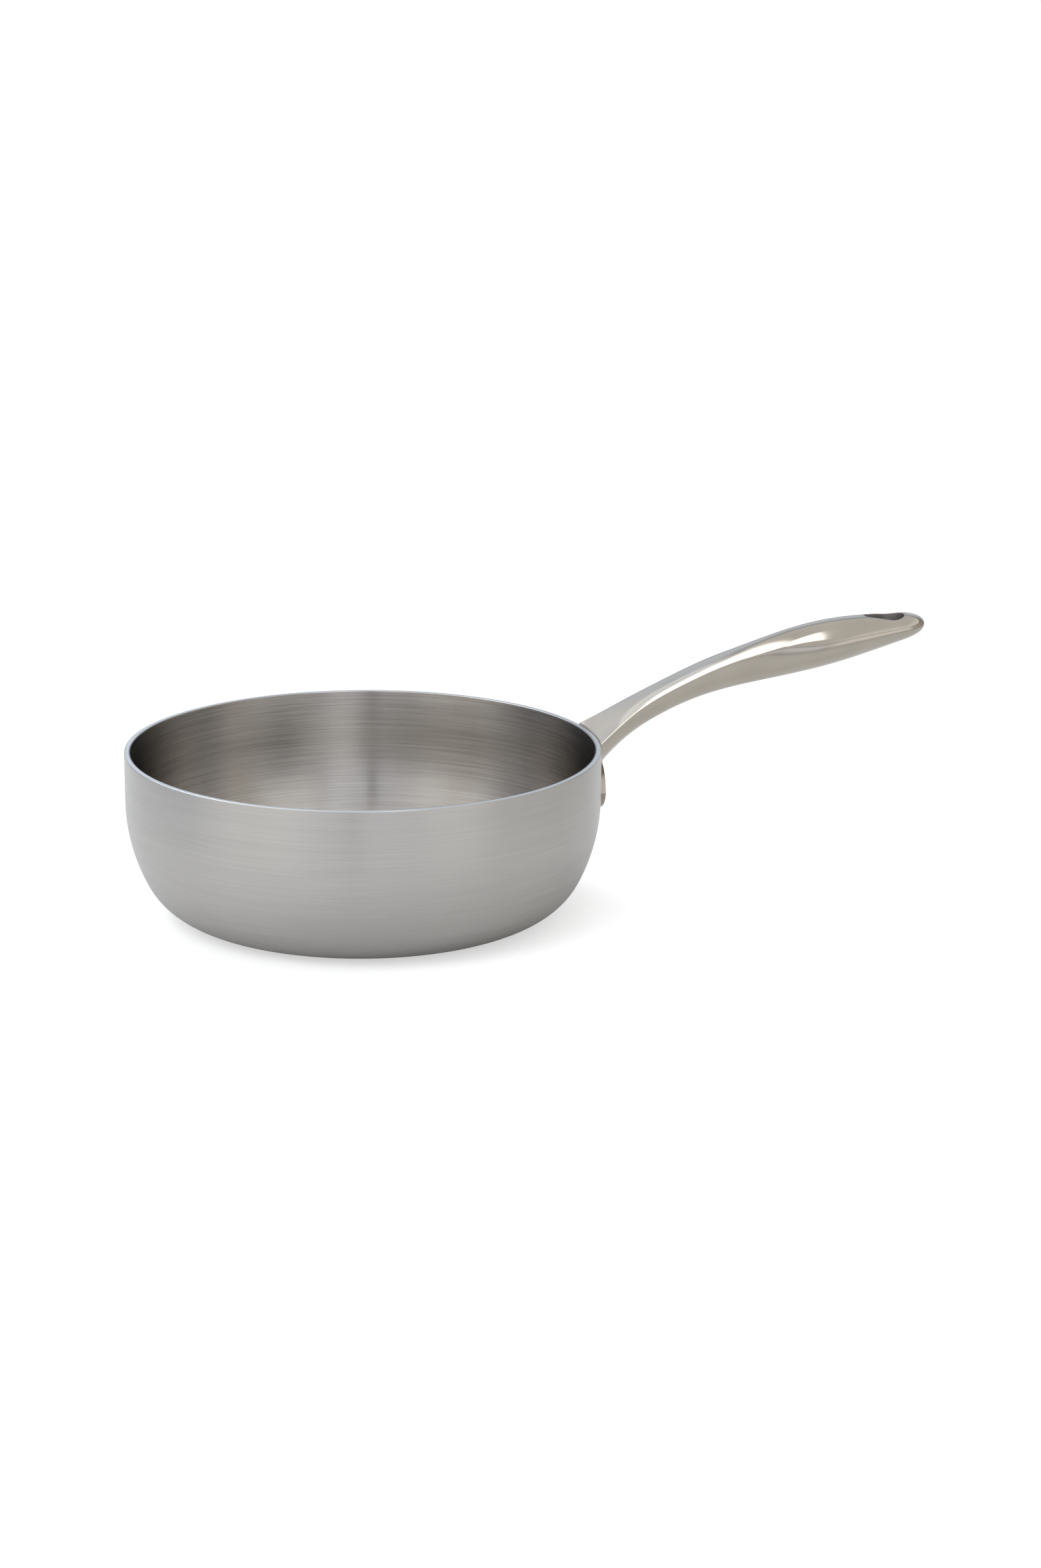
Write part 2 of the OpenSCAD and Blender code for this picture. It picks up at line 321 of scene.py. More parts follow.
# Turns round one ring of the handle. The first is under the handle, and they rise on the right.
RING_TURNS = (
    steps(-90, -SEAM_TURN, UNDER_STEPS)
    + steps(-SEAM_TURN, -FILLET_BELOW, SEAM_STEPS)
    + steps(-FILLET_BELOW, FILLET_ABOVE, CREASE_STEPS)
    + steps(FILLET_ABOVE, 180 - FILLET_ABOVE, CROWN_STEPS)
    + steps(180 - FILLET_ABOVE, 180 + FILLET_BELOW, CREASE_STEPS)
    + steps(180 + FILLET_BELOW, 180 + SEAM_TURN, SEAM_STEPS)
    + steps(180 + SEAM_TURN, 270, UNDER_STEPS)
)
# The turns at the two seams, between which the top shell lies
FIRST_TOP = RING_TURNS.index(-SEAM_TURN)
LAST_TOP = RING_TURNS.index(180 + SEAM_TURN)


def top_curve(t):
    """Height of the handle's top line at t, as a share of its rise."""
    s = 1 - t
    pulls = (s**5, 5 * t * s**4, 10 * t**2 * s**3, 10 * t**3 * s**2, 5 * t**4 * s, t**5)
    return sum(pull * height for pull, height in zip(pulls, TOP_LINE))


def station(f):
    """Half width at the shoulders, top height, crown, belly and roundness at a share of the reach."""
    p = sizes()
    flare = max(0, 1 - f / WAIST_AT) ** FLARE_POWER
    foot = max(0, 1 - f / THIN_AT) ** 2
    swell = ease((f - WAIST_AT) / (GRIP_AT - WAIST_AT))
    fill = ease((f - THIN_AT) / (FULL_AT - THIN_AT))
    narrow = ease((f - NARROW_FROM) / (SLIM_TO - NARROW_FROM))
    slim = ease((f - SLIM_FROM) / (SLIM_TO - SLIM_FROM))
    width = (
        p.waist_w
        + (p.root_w - p.waist_w) * flare
        + (p.shoulder_w - p.waist_w) * swell
        + (p.end_w - p.shoulder_w) * narrow
    )
    crown = (
        p.waist_crown
        + (p.root_crown - p.waist_crown) * flare
        + (p.grip_crown - p.waist_crown) * swell
        + (p.end_crown - p.grip_crown) * slim
    )
    thickness = (
        p.waist_t
        + (p.root_t - p.waist_t) * foot
        + (p.grip_t - p.waist_t) * fill
        + (p.end_t - p.grip_t) * slim
    )
    droop = p.nose_droop * max(0, 1 - (1 - f) * HANDLE_REACH / p.nose_l) ** 2
    top = PAN_H + p.handle_rise * top_curve(f) - droop
    return width / 2, top, crown, thickness - crown, ease((f - CREASE_FROM) / (CREASE_TO - CREASE_FROM))


def oval(s):
    """Half width, half height, middle height and lift of the grip's oval through the shoulders."""
    half, top, crown, belly, _ = s
    lift = math.asin((belly - crown) / (belly + crown))
    return half / math.cos(lift), (crown + belly) / 2, top - (crown + belly) / 2, lift


def stem_point(s, turn, inset):
    """A point of the stem's section, which is a shallow arch on a half oval."""
    half, top, crown, belly, _ = s
    a = math.radians(turn)
    shoulder = top - crown - inset
    rise = (belly - 2 * inset) * math.sin(a) if turn < 0 else crown * math.sin(a) ** 2
    return Vector(((half - inset) * math.cos(a), shoulder + rise))


def section_point(s, turn, inset, shrink):
    """A point of the handle's section, as sideways and up. The shoulder's crease has a small round."""
    if turn > 90:
        p = section_point(s, 180 - turn, inset, shrink)
        return Vector((-p.x, p.y))
    half_w, half_h, middle, lift = oval(s)
    if -FILLET_BELOW < turn < FILLET_ABOVE:
        u = (turn + FILLET_BELOW) / (FILLET_ABOVE + FILLET_BELOW)
        low = stem_point(s, -FILLET_BELOW, inset)
        corner = stem_point(s, 0, inset)
        high = stem_point(s, FILLET_ABOVE, inset)
        stem = low * (1 - u) ** 2 + corner * 2 * u * (1 - u) + high * u**2
    else:
        stem = stem_point(s, turn, inset)
    lift_turn = math.degrees(lift)
    span = 90 + lift_turn if turn < 0 else 90 - lift_turn
    a = math.radians(lift_turn + span * turn / 90)
    grip = Vector(((half_w - inset) * math.cos(a), middle + (half_h - inset) * math.sin(a)))
    p = stem.lerp(grip, s[4])
    return Vector((p.x * shrink, middle + (p.y - middle) * shrink))


def nose_start():
    """Where the rounded nose starts along X."""
    return RIM_R + HANDLE_REACH - sizes().nose_l


def nose_shrink(x, nose_l):
    """How much smaller the section is at x, within a nose of that length."""
    past = min(1.0, max(0.0, (x - nose_start()) / nose_l))
    return (1 - past**NOSE_POWER) ** (1 / NOSE_POWER)


def ring_places():
    """Where the handle's rings lie along X, from the wall to just before the tip."""
    body = [mix(RIM_R, nose_start(), (i / BODY_RINGS) ** CROWD_POWER) for i in range(BODY_RINGS + 1)]
    nose = [
        nose_start() + sizes().nose_l * math.sin(math.pi / 2 * i / NOSE_RINGS)
        for i in range(1, NOSE_RINGS)
    ]
    return body + nose


def handle_ring(x, inset):
    """The points of one ring of the handle's skin, or of the hollow's at a depth of inset below it."""
    p = sizes()
    if x > nose_start():
        x = nose_start() + (x - nose_start()) * (p.nose_l - inset) / p.nose_l
    f = (x - RIM_R) / HANDLE_REACH
    foot = max(0, 1 - f / FOOT_AT) ** 2
    shape = station(f)
    shrink = nose_shrink(x, p.nose_l - inset)
    points = []
    for turn in RING_TURNS:
        side, up = section_point(shape, turn, inset, shrink)
        wall = math.sqrt(RIM_R**2 - side**2) - RIM_R
        points.append(Vector((x + wall * foot, side, up)))
    return points


def handle_rings(inset):
    """All the rings from the wall to the tip, where the last is a single point for every turn."""
    middle = oval(station(1))[2]
    tip = Vector((RIM_R + HANDLE_REACH - inset, 0, middle))
    return [handle_ring(x, inset) for x in ring_places()] + [[tip] * len(RING_TURNS)]


def verts_of(geometry):
    """The vertices among the parts of a mesh."""
    return [g for g in geometry if isinstance(g, bmesh.types.BMVert)]


def edges_of(geometry):
    """The edges among the parts of a mesh."""
    return [g for g in geometry if isinstance(g, bmesh.types.BMEdge)]


def next_loop(bm, edges):
    """Extrudes a loop of edges and returns the new loop's vertices and edges."""
    made = bmesh.ops.extrude_edge_only(bm, edges=edges)["geom"]
    verts = verts_of(made)
    known = set(verts)
    return verts, [e for e in edges_of(made) if known.issuperset(e.verts)]


def draw_on(bm, tip, place):
    """Draws a straight line on from the vertex tip to a place and returns its end."""
    end = bmesh.ops.extrude_vert_indiv(bm, verts=[tip])["verts"][0]
    end.co = place
    return end


def draw_arc(bm, tip, centre, axis, angle, count):
    """Draws an arc on from the vertex tip and returns its end."""
    made = bmesh.ops.spin(bm, geom=[tip], cent=centre, axis=axis, angle=angle, steps=count)
    return verts_of(made["geom_last"])[0]


def side_curves():
    """Centres of the side's two curves, and the angle of the line through them."""
    p = sizes()
    side_x = RIM_R - p.side_r
    corner_x = RIM_R - p.side_run
    across = corner_x - side_x
    down = math.sqrt((p.side_r - p.corner_r) ** 2 - across**2)
    side = Vector((side_x, 0, p.corner_r + down))
    corner = Vector((corner_x, 0, p.corner_r))
    return side, corner, math.atan2(-down, across)


def pan_layer(depth, thickness, rounded):
    """One closed layer of the pan, spun from its outline. rounded picks the rim edges to round."""
    p = sizes()
    side, corner, lean = side_curves()
    out = (0, -1, 0)
    bore_r = RIM_R - depth - thickness
    bm = bmesh.new()
    tip = bm.verts.new((0, 0, depth))
    tip = draw_on(bm, tip, (corner.x, 0, depth))
    tip = draw_arc(bm, tip, corner, out, math.pi / 2 + lean, CORNER_STEPS)
    tip = draw_arc(bm, tip, side, out, -lean, SIDE_STEPS)
    tip = draw_on(bm, tip, (RIM_R - depth, 0, PAN_H))
    tip = draw_on(bm, tip, (bore_r, 0, PAN_H))
    tip = draw_on(bm, tip, (bore_r, 0, side.z))
    tip = draw_arc(bm, tip, side, out, lean, SIDE_STEPS)
    tip = draw_arc(bm, tip, corner, out, -math.pi / 2 - lean, CORNER_STEPS)
    draw_on(bm, tip, (0, 0, depth + thickness))
    bmesh.ops.remove_doubles(bm, verts=bm.verts[:], dist=MERGE)
    whole = bm.verts[:] + bm.edges[:]
    bmesh.ops.spin(
        bm, geom=whole, cent=(0, 0, 0), axis=(0, 0, 1), angle=math.tau, steps=p.turns, use_merge=True
    )
    bmesh.ops.remove_doubles(bm, verts=bm.verts[:], dist=MERGE)
    bmesh.ops.recalc_face_normals(bm, faces=bm.faces[:])
    if rounded:
        round_rim(bm, rounded)
    return bm


def round_rim(bm, radii):
    """Rounds the edges of the rim that lie at these radii."""
    near = 0.05 * MM
    edges = [
        e
        for e in bm.edges
        if all(v.co.z > PAN_H - near for v in e.verts)
        and any(all(abs(v.co.xy.length - r) < near for v in e.verts) for r in radii)
    ]
    bmesh.ops.bevel(
        bm, geom=edges, offset=sizes().rim_round, offset_type="OFFSET", affect="EDGES",
        segments=4, profile=0.5, material=-1,
    )


def handle_skin():
    """The handle's outside as one sheet, open at its foot, with each point's ring and turn kept."""
    bm = bmesh.new()
    turn_of = bm.verts.layers.int.new("turn")
    ring_of = bm.verts.layers.int.new("ring")
    made = bmesh.ops.create_circle(bm, radius=sizes().root_w, segments=len(RING_TURNS))
    verts = made["verts"]
    for i, v in enumerate(verts):
        v[turn_of] = i
    ring = bm.edges[:]
    for k, points in enumerate(handle_rings(0)):
        if k:
            verts, ring = next_loop(bm, ring)
        for v in verts:
            v[ring_of] = k
            v.co = points[v[turn_of]]
    bmesh.ops.pointmerge(bm, verts=verts, merge_co=verts[0].co)
    bmesh.ops.recalc_face_normals(bm, faces=bm.faces[:])
    bm.normal_update()
    return bm


def is_top(face, turn_of, ring_of, tip_ring):
    """Whether a face of the skin belongs to the handle's top shell."""
    turns = [v[turn_of] for v in face.verts if v[ring_of] < tip_ring]
    return FIRST_TOP <= min(turns) and max(turns) <= LAST_TOP


def handle_shell(top):
    """One half of the hollow handle: its part of the skin, with the sheet's thickness inside."""
    bm = handle_skin()
    turn_of = bm.verts.layers.int["turn"]
    ring_of = bm.verts.layers.int["ring"]
    rings = handle_rings(sizes().shell_t)
    tip_ring = len(rings) - 1
    skin_normal = bm.loops.layers.float_vector.new("skin_normal")
    for face in bm.faces:
        for loop in face.loops:
            loop[skin_normal] = loop.vert.normal
    spare = [f for f in bm.faces if is_top(f, turn_of, ring_of, tip_ring) != top]
    bmesh.ops.delete(bm, geom=spare, context="FACES")
    outside = bm.faces[:]
    made = bmesh.ops.extrude_face_region(bm, geom=outside, use_keep_orig=True)["geom"]
    kept = set(outside)
    for v in verts_of(made):
        v.co = rings[v[ring_of]][v[turn_of]]
    for face in bm.faces:
        if face not in kept:
            for loop in face.loops:
                loop[skin_normal] = (0, 0, 0)
    bmesh.ops.recalc_face_normals(bm, faces=bm.faces[:])
    return bm


def hole_stations():
    """Centre, radius and direction of the points round the hanging hole."""
    p = sizes()
    wide_x = RIM_R + HANDLE_REACH - p.hole_inset - p.hole_wide_r
    narrow_x = RIM_R + HANDLE_REACH - p.hole_inset - p.hole_l + p.hole_narrow_r
    square = math.pi / 2 + math.asin((p.hole_wide_r - p.hole_narrow_r) / (wide_x - narrow_x))
    wide = [(wide_x, p.hole_wide_r, a) for a in steps(-square, square, WIDE_STEPS)]
    narrow = [
        (narrow_x, p.hole_narrow_r, a) for a in steps(square, math.tau - square, NARROW_STEPS)
    ]
    far = [
        (mix(wide_x, narrow_x, t), mix(p.hole_wide_r, p.hole_narrow_r, t), square)
        for t in steps(0, 1, FLANK_STEPS)
    ]
    near = [
        (mix(narrow_x, wide_x, t), mix(p.hole_narrow_r, p.hole_wide_r, t), -square)
        for t in steps(0, 1, FLANK_STEPS)
    ]
    return wide + far + narrow + near


def hole_point(place, grow):
    """A point of the hanging hole's outline, grown by that much, seen from above."""
    x, r, a = place
    return Vector((x + (r + grow) * math.cos(a), (r + grow) * math.sin(a)))


def grip_height(x, y, side):
    """Height of the grip's skin over x and y: side is 1 for its top and -1 for its underside."""
    half_w, half_h, middle, _ = oval(station((x - RIM_R) / HANDLE_REACH))
    shrink = nose_shrink(x, sizes().nose_l)
    share = min(1.0, abs(y) / (half_w * shrink))
    return middle + side * half_h * shrink * math.sqrt(1 - share**2)


def sleeve_profile():
    """The sleeve's section: its side of the grip, how far out it is and how far below the skin."""
    p = sizes()
    r = p.sleeve_round
    # The rounded edge, from the top of the sleeve round into the hole
    edge = [math.radians(a) for a in (90, 70, 50, 30, 15, 0)]
    top = [(1, p.sleeve_t, 0), (1, mix(p.sleeve_t, r, 0.5), 0)]
    top += [(1, r * (1 - math.cos(a)), r * (1 - math.sin(a))) for a in edge]
    return top + [(-1, grow, drop) for _, grow, drop in reversed(top)]


def hole_sleeve():
    """The sleeve that lines the hanging hole, flush with the grip's skin."""
    places = hole_stations()
    profile = sleeve_profile()
    bm = bmesh.new()
    place_of = bm.verts.layers.int.new("place")
    made = bmesh.ops.create_circle(bm, radius=sizes().hole_wide_r, segments=len(places))
    verts = made["verts"]
    for i, v in enumerate(verts):
        v[place_of] = i
    loop = first = bm.edges[:]
    for k, (side, grow, drop) in enumerate(profile):
        if k:
            verts, loop = next_loop(bm, loop)
        for v in verts:
            x, y = hole_point(places[v[place_of]], grow)
            v.co = (x, y, grip_height(x, y, side) - side * drop)
    bmesh.ops.bridge_loops(bm, edges=first + loop)
    bmesh.ops.recalc_face_normals(bm, faces=bm.faces[:])
    return bm


def hole_cutter():
    """A plug that is as wide as the sleeve and cuts the shells for it."""
    places = hole_stations()
    bm = bmesh.new()
    made = bmesh.ops.create_circle(bm, cap_ends=True, radius=sizes().hole_wide_r, segments=len(places))
    for place, v in zip(places, made["verts"]):
        x, y = hole_point(place, sizes().sleeve_t)
        v.co = (x, y, PAN_H)
    made = bmesh.ops.extrude_face_region(bm, geom=bm.faces[:], use_keep_orig=True)["geom"]
    # The plug reaches from the rim's height to well above the grip
    bmesh.ops.translate(bm, verts=verts_of(made), vec=(0, 0, 1.5 * sizes().handle_rise))
    bmesh.ops.recalc_face_normals(bm, faces=bm.faces[:])
    return bm


def wall_radius(z, out):
    """Radius of the pan's outside at height z, moved out square to the wall."""
    side = side_curves()[0]
    if z >= side.z:
        return RIM_R + out
    return side.x + math.sqrt((sizes().side_r + out) ** 2 - (side.z - z) ** 2)


def plate_outline(bm, grow):
    """The bracket plate's outline as one flat face on the plane of Y and Z."""
    p = sizes()
    edge_r = (p.plate_w**2 + p.plate_h**2) / (4 * p.plate_h)
    eye_z = PAN_H - p.plate_drop
    offset = edge_r - p.plate_h / 2
    neck = p.neck_w / 2 + grow
    neck_top = PAN_H - p.neck_drop + grow
    edge_r += grow
    joint_z = eye_z - offset + math.sqrt(edge_r**2 - neck**2)
    point_y = math.sqrt(edge_r**2 - offset**2)
    joint_a = math.asin(neck / edge_r)
    point_a = math.asin(point_y / edge_r)
    low = (0, 0, eye_z - offset)
    high = (0, 0, eye_z + offset)
    ahead = (1, 0, 0)
    tip = bm.verts.new((0, -neck, joint_z))
    tip = draw_arc(bm, tip, low, ahead, point_a - joint_a, BROW_STEPS)
    tip = draw_arc(bm, tip, high, ahead, 2 * point_a, EYE_STEPS)
    tip = draw_arc(bm, tip, low, ahead, point_a - joint_a, BROW_STEPS)
    for place in ((0, neck, neck_top), (0, -neck, neck_top), (0, -neck, joint_z)):
        tip = draw_on(bm, tip, place)
    bmesh.ops.remove_doubles(bm, verts=bm.verts[:], dist=MERGE)
    bmesh.ops.contextual_create(bm, geom=bm.edges[:])


def curved_plate(grow):
    """The bracket's plate, grown by that much, in rows and columns that follow the pan's wall."""
    p = sizes()
    bm = bmesh.new()
    plate_outline(bm, grow)
    low = min(v.co.z for v in bm.verts)
    high = max(v.co.z for v in bm.verts)
    rows = steps(low, high, PLATE_ROWS)[1:]
    columns = steps(-p.plate_w / 2, p.plate_w / 2, PLATE_COLUMNS)[1:]
    cuts = [(Vector((0, 0, z)), Vector((0, 0, 1))) for z in rows]
    cuts += [(Vector((0, y, 0)), Vector((0, 1, 0))) for y in columns]
    for place, way in cuts:
        everything = bm.verts[:] + bm.edges[:] + bm.faces[:]
        bmesh.ops.bisect_plane(bm, geom=everything, dist=0.01 * MM, plane_co=place, plane_no=way)
    made = bmesh.ops.extrude_face_region(bm, geom=bm.faces[:], use_keep_orig=True)["geom"]
    front = set(verts_of(made))
    for v in bm.verts:
        out = p.plate_t + grow if v in front else -grow
        v.co.x = math.sqrt(wall_radius(v.co.z, out) ** 2 - v.co.y**2)
    bmesh.ops.recalc_face_normals(bm, faces=bm.faces[:])
    return bm


def wall_bracket():
    """The plate that is welded to the wall, with the tang that carries the stem."""
    p = sizes()
    bm = curved_plate(0)
    corners = [e for e in bm.edges if e.is_manifold and e.calc_face_angle() > CORNER_ANGLE]
    outer = [
        e for e in corners
        if all(v.co.xy.length > wall_radius(v.co.z, p.plate_t / 2) for v in e.verts)
    ]
    bmesh.ops.bevel(
        bm, geom=outer, offset=p.plate_round, offset_type="OFFSET", affect="EDGES",
        segments=4, profile=0.5, material=-1, clamp_overlap=True,
    )
    tang = (
        Matrix.Translation((RIM_R, 0, PAN_H - p.tang_drop))
        @ Matrix.Rotation(-p.tang_tilt, 4, "Y")
        @ Matrix.Translation((p.tang_l / 2 + p.plate_t / 2, 0, 0))
        @ Matrix.Diagonal((p.tang_l - p.plate_t, p.tang_w, p.tang_t, 1))
    )
    known = set(bmesh.ops.create_cube(bm, size=1, matrix=tang)["verts"])
    edges = [e for e in bm.edges if known.issuperset(e.verts)]
    bmesh.ops.bevel(
        bm, geom=edges, offset=p.tang_round, offset_type="OFFSET", affect="EDGES",
        segments=2, profile=0.5, material=-1,
    )
    return bm


def new_object(bm, name):
    """Puts a bmesh in the scene as an object at the origin."""
    mesh = bpy.data.meshes.new(name)
    bm.to_mesh(mesh)
    bm.free()
    made = bpy.data.objects.new(name, mesh)
    bpy.context.scene.collection.objects.link(made)
    return made


def cut_away(piece, cutters):
    """Cuts the cutters out of a piece, and removes them."""
    for cutter in cutters:
        cut = piece.modifiers.new(cutter.name, "BOOLEAN")
        cut.operation = "DIFFERENCE"
        cut.solver = "EXACT"
        cut.object = cutter
    graph = bpy.context.evaluated_depsgraph_get()
    whole = piece.data
    piece.data = bpy.data.meshes.new_from_object(piece.evaluated_get(graph))
    piece.modifiers.clear()
    bpy.data.meshes.remove(whole)
    for cutter in cutters:
        bpy.data.objects.remove(cutter)


def shade(piece):
    """Smooths the faces, and keeps the edges sharp where faces meet at a clear angle."""
    piece.data.shade_smooth()
    piece.data.set_sharp_from_angle(angle=SMOOTH_ANGLE)


def use_skin_normals(piece):
    """Lets the handle's pieces share the normals of its unbroken skin, so that no seam shows."""
    mesh = piece.data
    kept = mesh.attributes["skin_normal"]
    flat = [0.0] * (3 * len(mesh.loops))
    kept.data.foreach_get("vector", flat)
    normals = [Vector(flat[i : i + 3]) for i in range(0, len(flat), 3)]
    mesh.normals_split_custom_set([n.normalized() if n.length > 0.5 else Vector() for n in normals])
    mesh.attributes.remove(mesh.attributes["skin_normal"])


def add_handle_uv(piece):
    """Maps the handle's finish along its length and round its girth, both in metres."""
    # The handle climbs, so it is this much longer than its run along X
    climb = 1.1
    # Radius of a round bar that is about as thick as the grip
    bar_r = 10 * MM
    # Under the handle the turn, in radians, jumps from one side's to the other's
    near_half_turn = 3
    mesh = piece.data
    layer = mesh.uv_layers.new(name="Along")
    turns = []
    for v in mesh.vertices:
        middle = oval(station((v.co.x - RIM_R) / HANDLE_REACH))[2]
        turns.append(math.atan2(v.co.y, v.co.z - middle))
    for face in mesh.polygons:
        for i in face.loop_indices:
            place = mesh.loops[i].vertex_index
            a = turns[place]
            if a * face.center.y < 0 and abs(a) > near_half_turn:
                a -= math.copysign(math.tau, a)
            layer.data[i].uv = (mesh.vertices[place].co.x * climb, a * bar_r)


def add_piece(piece, node, material):
    """Gives a finished piece its material and its body, and hides the node that it stands for."""
    piece.data.materials.clear()
    piece.data.materials.append(material)
    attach(piece, "root")
    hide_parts(node)


def add_node(tree, kind, inputs=None, **settings):
    """Adds a node. An input is a value, or the output or the node that feeds it."""
    node = tree.nodes.new(kind)
    for name, value in settings.items():
        setattr(node, name, value)
    for name, value in (inputs or {}).items():
        source = value.outputs[0] if isinstance(value, bpy.types.Node) else value
        if isinstance(source, bpy.types.NodeSocket):
            tree.links.new(source, node.inputs[name])
        else:
            node.inputs[name].default_value = source
    return node


def new_tree(owner):
    """The empty node tree of a material or a world."""
    owner.use_nodes = True
    owner.node_tree.nodes.clear()
    return owner.node_tree


def turned_place(tree, streak, spacing):
    """Coordinates for lines round the pan: their length at the rim, and how far apart they are."""
    spot = add_node(tree, "ShaderNodeTexCoord").outputs["Object"]
    parts = add_node(tree, "ShaderNodeSeparateXYZ", {"Vector": spot}).outputs
    flat = add_node(tree, "ShaderNodeCombineXYZ", {"X": parts["X"], "Y": parts["Y"]})
    reach = add_node(tree, "ShaderNodeVectorMath", {0: flat}, operation="LENGTH").outputs["Value"]
    way = add_node(tree, "ShaderNodeVectorMath", {0: flat}, operation="NORMALIZE")
    along = add_node(
        tree, "ShaderNodeVectorMath", {0: way, "Scale": RIM_R / streak}, operation="SCALE"
    )
    run = add_node(tree, "ShaderNodeMath", {0: reach, 1: parts["Z"]}, operation="ADD")
    across = add_node(tree, "ShaderNodeMath", {0: run, 1: spacing}, operation="DIVIDE")
    lines = add_node(tree, "ShaderNodeCombineXYZ", {"Z": across})
    return add_node(tree, "ShaderNodeVectorMath", {0: along, 1: lines}, operation="ADD")


def brushed_pan_steel(name, colour, roughness, anisotropic, edge, lines):
    """Stainless 18/10 turned against a belt: fine lines round the pan draw its lights out upwards.

    edge is how bright the steel is where it is seen edge on, and lines is how much its lines differ.
    """
    material = bpy.data.materials.new(name)
    tree = new_tree(material)
    # The belt's own lines are about 0.1 mm apart. They are drawn coarser, so that they show.
    place = turned_place(tree, streak=50 * MM, spacing=0.7 * MM)
    fine = add_node(tree, "ShaderNodeTexNoise", {"Vector": place, "Scale": 1})
    # Broader bands show where the belt was moved on
    place = turned_place(tree, streak=90 * MM, spacing=7 * MM)
    broad = add_node(tree, "ShaderNodeTexNoise", {"Vector": place, "Scale": 1})
    line_tint = add_node(
        tree, "ShaderNodeMapRange",
        {"Value": fine, **NOISE_SPAN, "To Min": 1 - lines, "To Max": 1 + lines},
    )
    band_tint = add_node(
        tree, "ShaderNodeMapRange", {"Value": broad, **NOISE_SPAN, "To Min": 0.99, "To Max": 1.01}
    )
    tint = add_node(tree, "ShaderNodeMath", {0: line_tint, 1: band_tint}, operation="MULTIPLY")
    tinted = add_node(
        tree, "ShaderNodeVectorMath", {0: list(colour), "Scale": tint}, operation="SCALE"
    )
    rough = add_node(
        tree, "ShaderNodeMapRange",
        {"Value": fine, **NOISE_SPAN, "To Min": roughness - 0.015, "To Max": roughness + 0.015},
    )
    bump = add_node(
        tree, "ShaderNodeBump", {"Height": fine, "Strength": 0.02, "Distance": 0.01 * MM}
    )
    round_axis = add_node(tree, "ShaderNodeTangent", direction_type="RADIAL", axis="Z")
    # A quarter turn from the way round the pan, the gloss spreads up and down the wall
    steel = {
        "Base Color": tinted,
        "Metallic": 1,
        "Roughness": rough,
        "Anisotropic": anisotropic,
        "Anisotropic Rotation": 0.25,
        "Tangent": round_axis,
        "Specular Tint": (edge, edge, edge, 1),
        "Normal": bump,
    }
    shader = add_node(tree, "ShaderNodeBsdfPrincipled", steel)
    add_node(tree, "ShaderNodeOutputMaterial", {"Surface": shader})
    return material


def core_aluminium(colour):
    """Pure aluminium, skimmed flat at the rim: paler and cooler than the steel beside it."""
    material = bpy.data.materials.new("core_aluminium")
    tree = new_tree(material)
    # The cutter's own marks are about 0.05 mm apart. They are drawn coarser, so that they show.
    place = turned_place(tree, streak=20 * MM, spacing=0.3 * MM)
    fine = add_node(tree, "ShaderNodeTexNoise", {"Vector": place, "Scale": 1})
    tint = add_node(
        tree, "ShaderNodeMapRange", {"Value": fine, **NOISE_SPAN, "To Min": 0.95, "To Max": 1.05}
    )
    tinted = add_node(
        tree, "ShaderNodeVectorMath", {0: list(colour), "Scale": tint}, operation="SCALE"
    )
    rough = add_node(
        tree, "ShaderNodeMapRange", {"Value": fine, **NOISE_SPAN, "To Min": 0.36, "To Max": 0.44}
    )
    metal = {"Base Color": tinted, "Metallic": 1, "Roughness": rough}
    shader = add_node(tree, "ShaderNodeBsdfPrincipled", metal)
    add_node(tree, "ShaderNodeOutputMaterial", {"Surface": shader})
    return material


def satin_handle_steel(name, colour, roughness):
    """Stainless 18/8 pressed, welded and buffed: a soft gloss with faint hazy patches."""
    material = bpy.data.materials.new(name)
    tree = new_tree(material)
    spot = add_node(tree, "ShaderNodeTexCoord").outputs["Object"]
    # Hazy patches of about 14 mm, where the wheel dwelt
    haze = add_node(tree, "ShaderNodeTexNoise", {"Vector": spot, "Scale": 1 / (14 * MM)})
    # The wheel's marks are about 12 mm long, and drawn 0.35 mm apart, coarser than they are
    lie = add_node(tree, "ShaderNodeUVMap", uv_map="Along")
    drawn = add_node(
        tree, "ShaderNodeMapping", {"Vector": lie, "Scale": (1 / (12 * MM), 1 / (0.35 * MM), 1)}
    )
    grain = add_node(tree, "ShaderNodeTexNoise", {"Vector": drawn, "Scale": 1, "Detail": 3})
    haze_tint = add_node(
        tree, "ShaderNodeMapRange", {"Value": haze, **NOISE_SPAN, "To Min": 0.96, "To Max": 1.03}
    )
    grain_tint = add_node(
        tree, "ShaderNodeMapRange", {"Value": grain, **NOISE_SPAN, "To Min": 0.985, "To Max": 1.015}
    )
    tint = add_node(tree, "ShaderNodeMath", {0: haze_tint, 1: grain_tint}, operation="MULTIPLY")
    tinted = add_node(
        tree, "ShaderNodeVectorMath", {0: list(colour), "Scale": tint}, operation="SCALE"
    )
    haze_rough = add_node(
        tree, "ShaderNodeMapRange",
        {"Value": haze, **NOISE_SPAN, "To Min": roughness - 0.02, "To Max": roughness + 0.02},
    )
    grain_rough = add_node(
        tree, "ShaderNodeMapRange", {"Value": grain, **NOISE_SPAN, "To Min": -0.015, "To Max": 0.015}
    )
    rough = add_node(tree, "ShaderNodeMath", {0: haze_rough, 1: grain_rough}, operation="ADD")
    bump = add_node(
        tree, "ShaderNodeBump", {"Height": grain, "Strength": 0.12, "Distance": 0.004 * MM}
    )
    steel = {"Base Color": tinted, "Metallic": 1, "Roughness": rough, "Normal": bump}
    shader = add_node(tree, "ShaderNodeBsdfPrincipled", steel)
    add_node(tree, "ShaderNodeOutputMaterial", {"Surface": shader})
    return material


